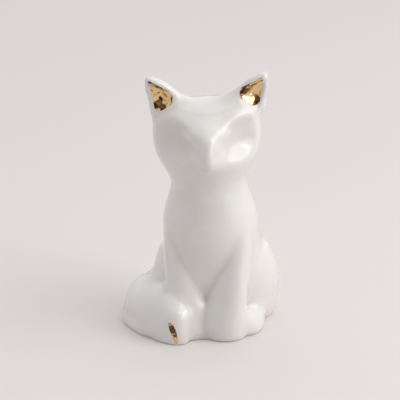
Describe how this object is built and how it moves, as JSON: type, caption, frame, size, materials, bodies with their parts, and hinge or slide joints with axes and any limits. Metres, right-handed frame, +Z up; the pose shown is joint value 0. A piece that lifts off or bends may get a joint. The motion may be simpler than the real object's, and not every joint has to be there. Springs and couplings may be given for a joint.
{
  "type": "ceramic cat ornament",
  "caption": "Small seated cat in glazed white porcelain with carved eye hollows, gilded inner ears and a gilded tail tip.",
  "frame": {"origin": "bottom centre of the bounding box, on the surface that the foot rests on", "axes": "-Y is the way the cat faces, +X is the cat's left, +Z is up"},
  "size_m": [0.0434, 0.0374, 0.07],
  "materials": {
    "glazed_porcelain": "gloss",
    "gilding": "polished"
  },
  "bodies": {
    "root": {"body_shell": "glazed_porcelain", "head_shell": "glazed_porcelain", "left_ear": "glazed_porcelain", "right_ear": "glazed_porcelain", "left_foreleg": "glazed_porcelain", "right_foreleg": "glazed_porcelain", "left_haunch": "glazed_porcelain", "right_haunch": "glazed_porcelain", "tail": "glazed_porcelain", "left_ear_gilding": "gilding", "right_ear_gilding": "gilding", "tail_tip_gilding": "gilding"}
  },
  "joints": []
}
